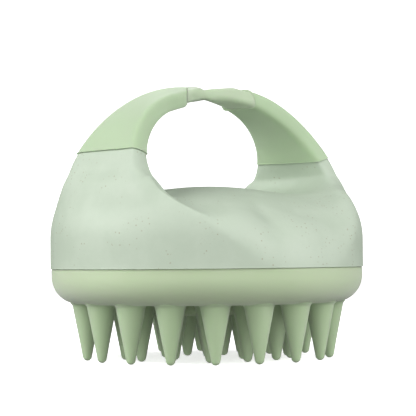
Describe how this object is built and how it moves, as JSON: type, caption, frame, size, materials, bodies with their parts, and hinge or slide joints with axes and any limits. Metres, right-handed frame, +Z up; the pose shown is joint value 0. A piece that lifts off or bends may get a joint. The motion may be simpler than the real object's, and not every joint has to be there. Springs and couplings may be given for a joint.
{
  "type": "scalp massager brush",
  "caption": "Palm-held scalp massage brush: a swirled dome with a finger loop over a round pad of soft tapered bristles.",
  "frame": {"origin": "centre of the underside's bounding box: on the body's axis, at the height of the bristle tips", "axes": "+Z up along the body's axis, through the loop; -Y towards the side where the loop's left arm is the nearer one; +X to the right of that side"},
  "size_m": [0.084, 0.084, 0.0728],
  "materials": {
    "fibre_filled_plastic": "matte, with a few fine dark fibre specks",
    "silicone_grip": "soft matte silicone",
    "silicone_pad": "soft matte silicone",
    "carrier_plastic": "matte"
  },
  "bodies": {
    "brush_head": {"carrier_plate": "carrier_plastic", "bristle_pad": "silicone_pad", "bristles_outer_ring": "silicone_pad", "bristles_middle_ring": "silicone_pad", "bristles_inner_ring": "silicone_pad", "bristle_centre": "silicone_pad"},
    "handle": {"shell": "fibre_filled_plastic", "grip_left": "silicone_grip", "grip_right": "silicone_grip", "loop_link": "silicone_grip"}
  },
  "joints": [
    {"name": "head_release", "type": "slide", "parent": "brush_head", "child": "handle", "axis": [0, 0, 1], "range_m": [0, 0.012]}
  ]
}
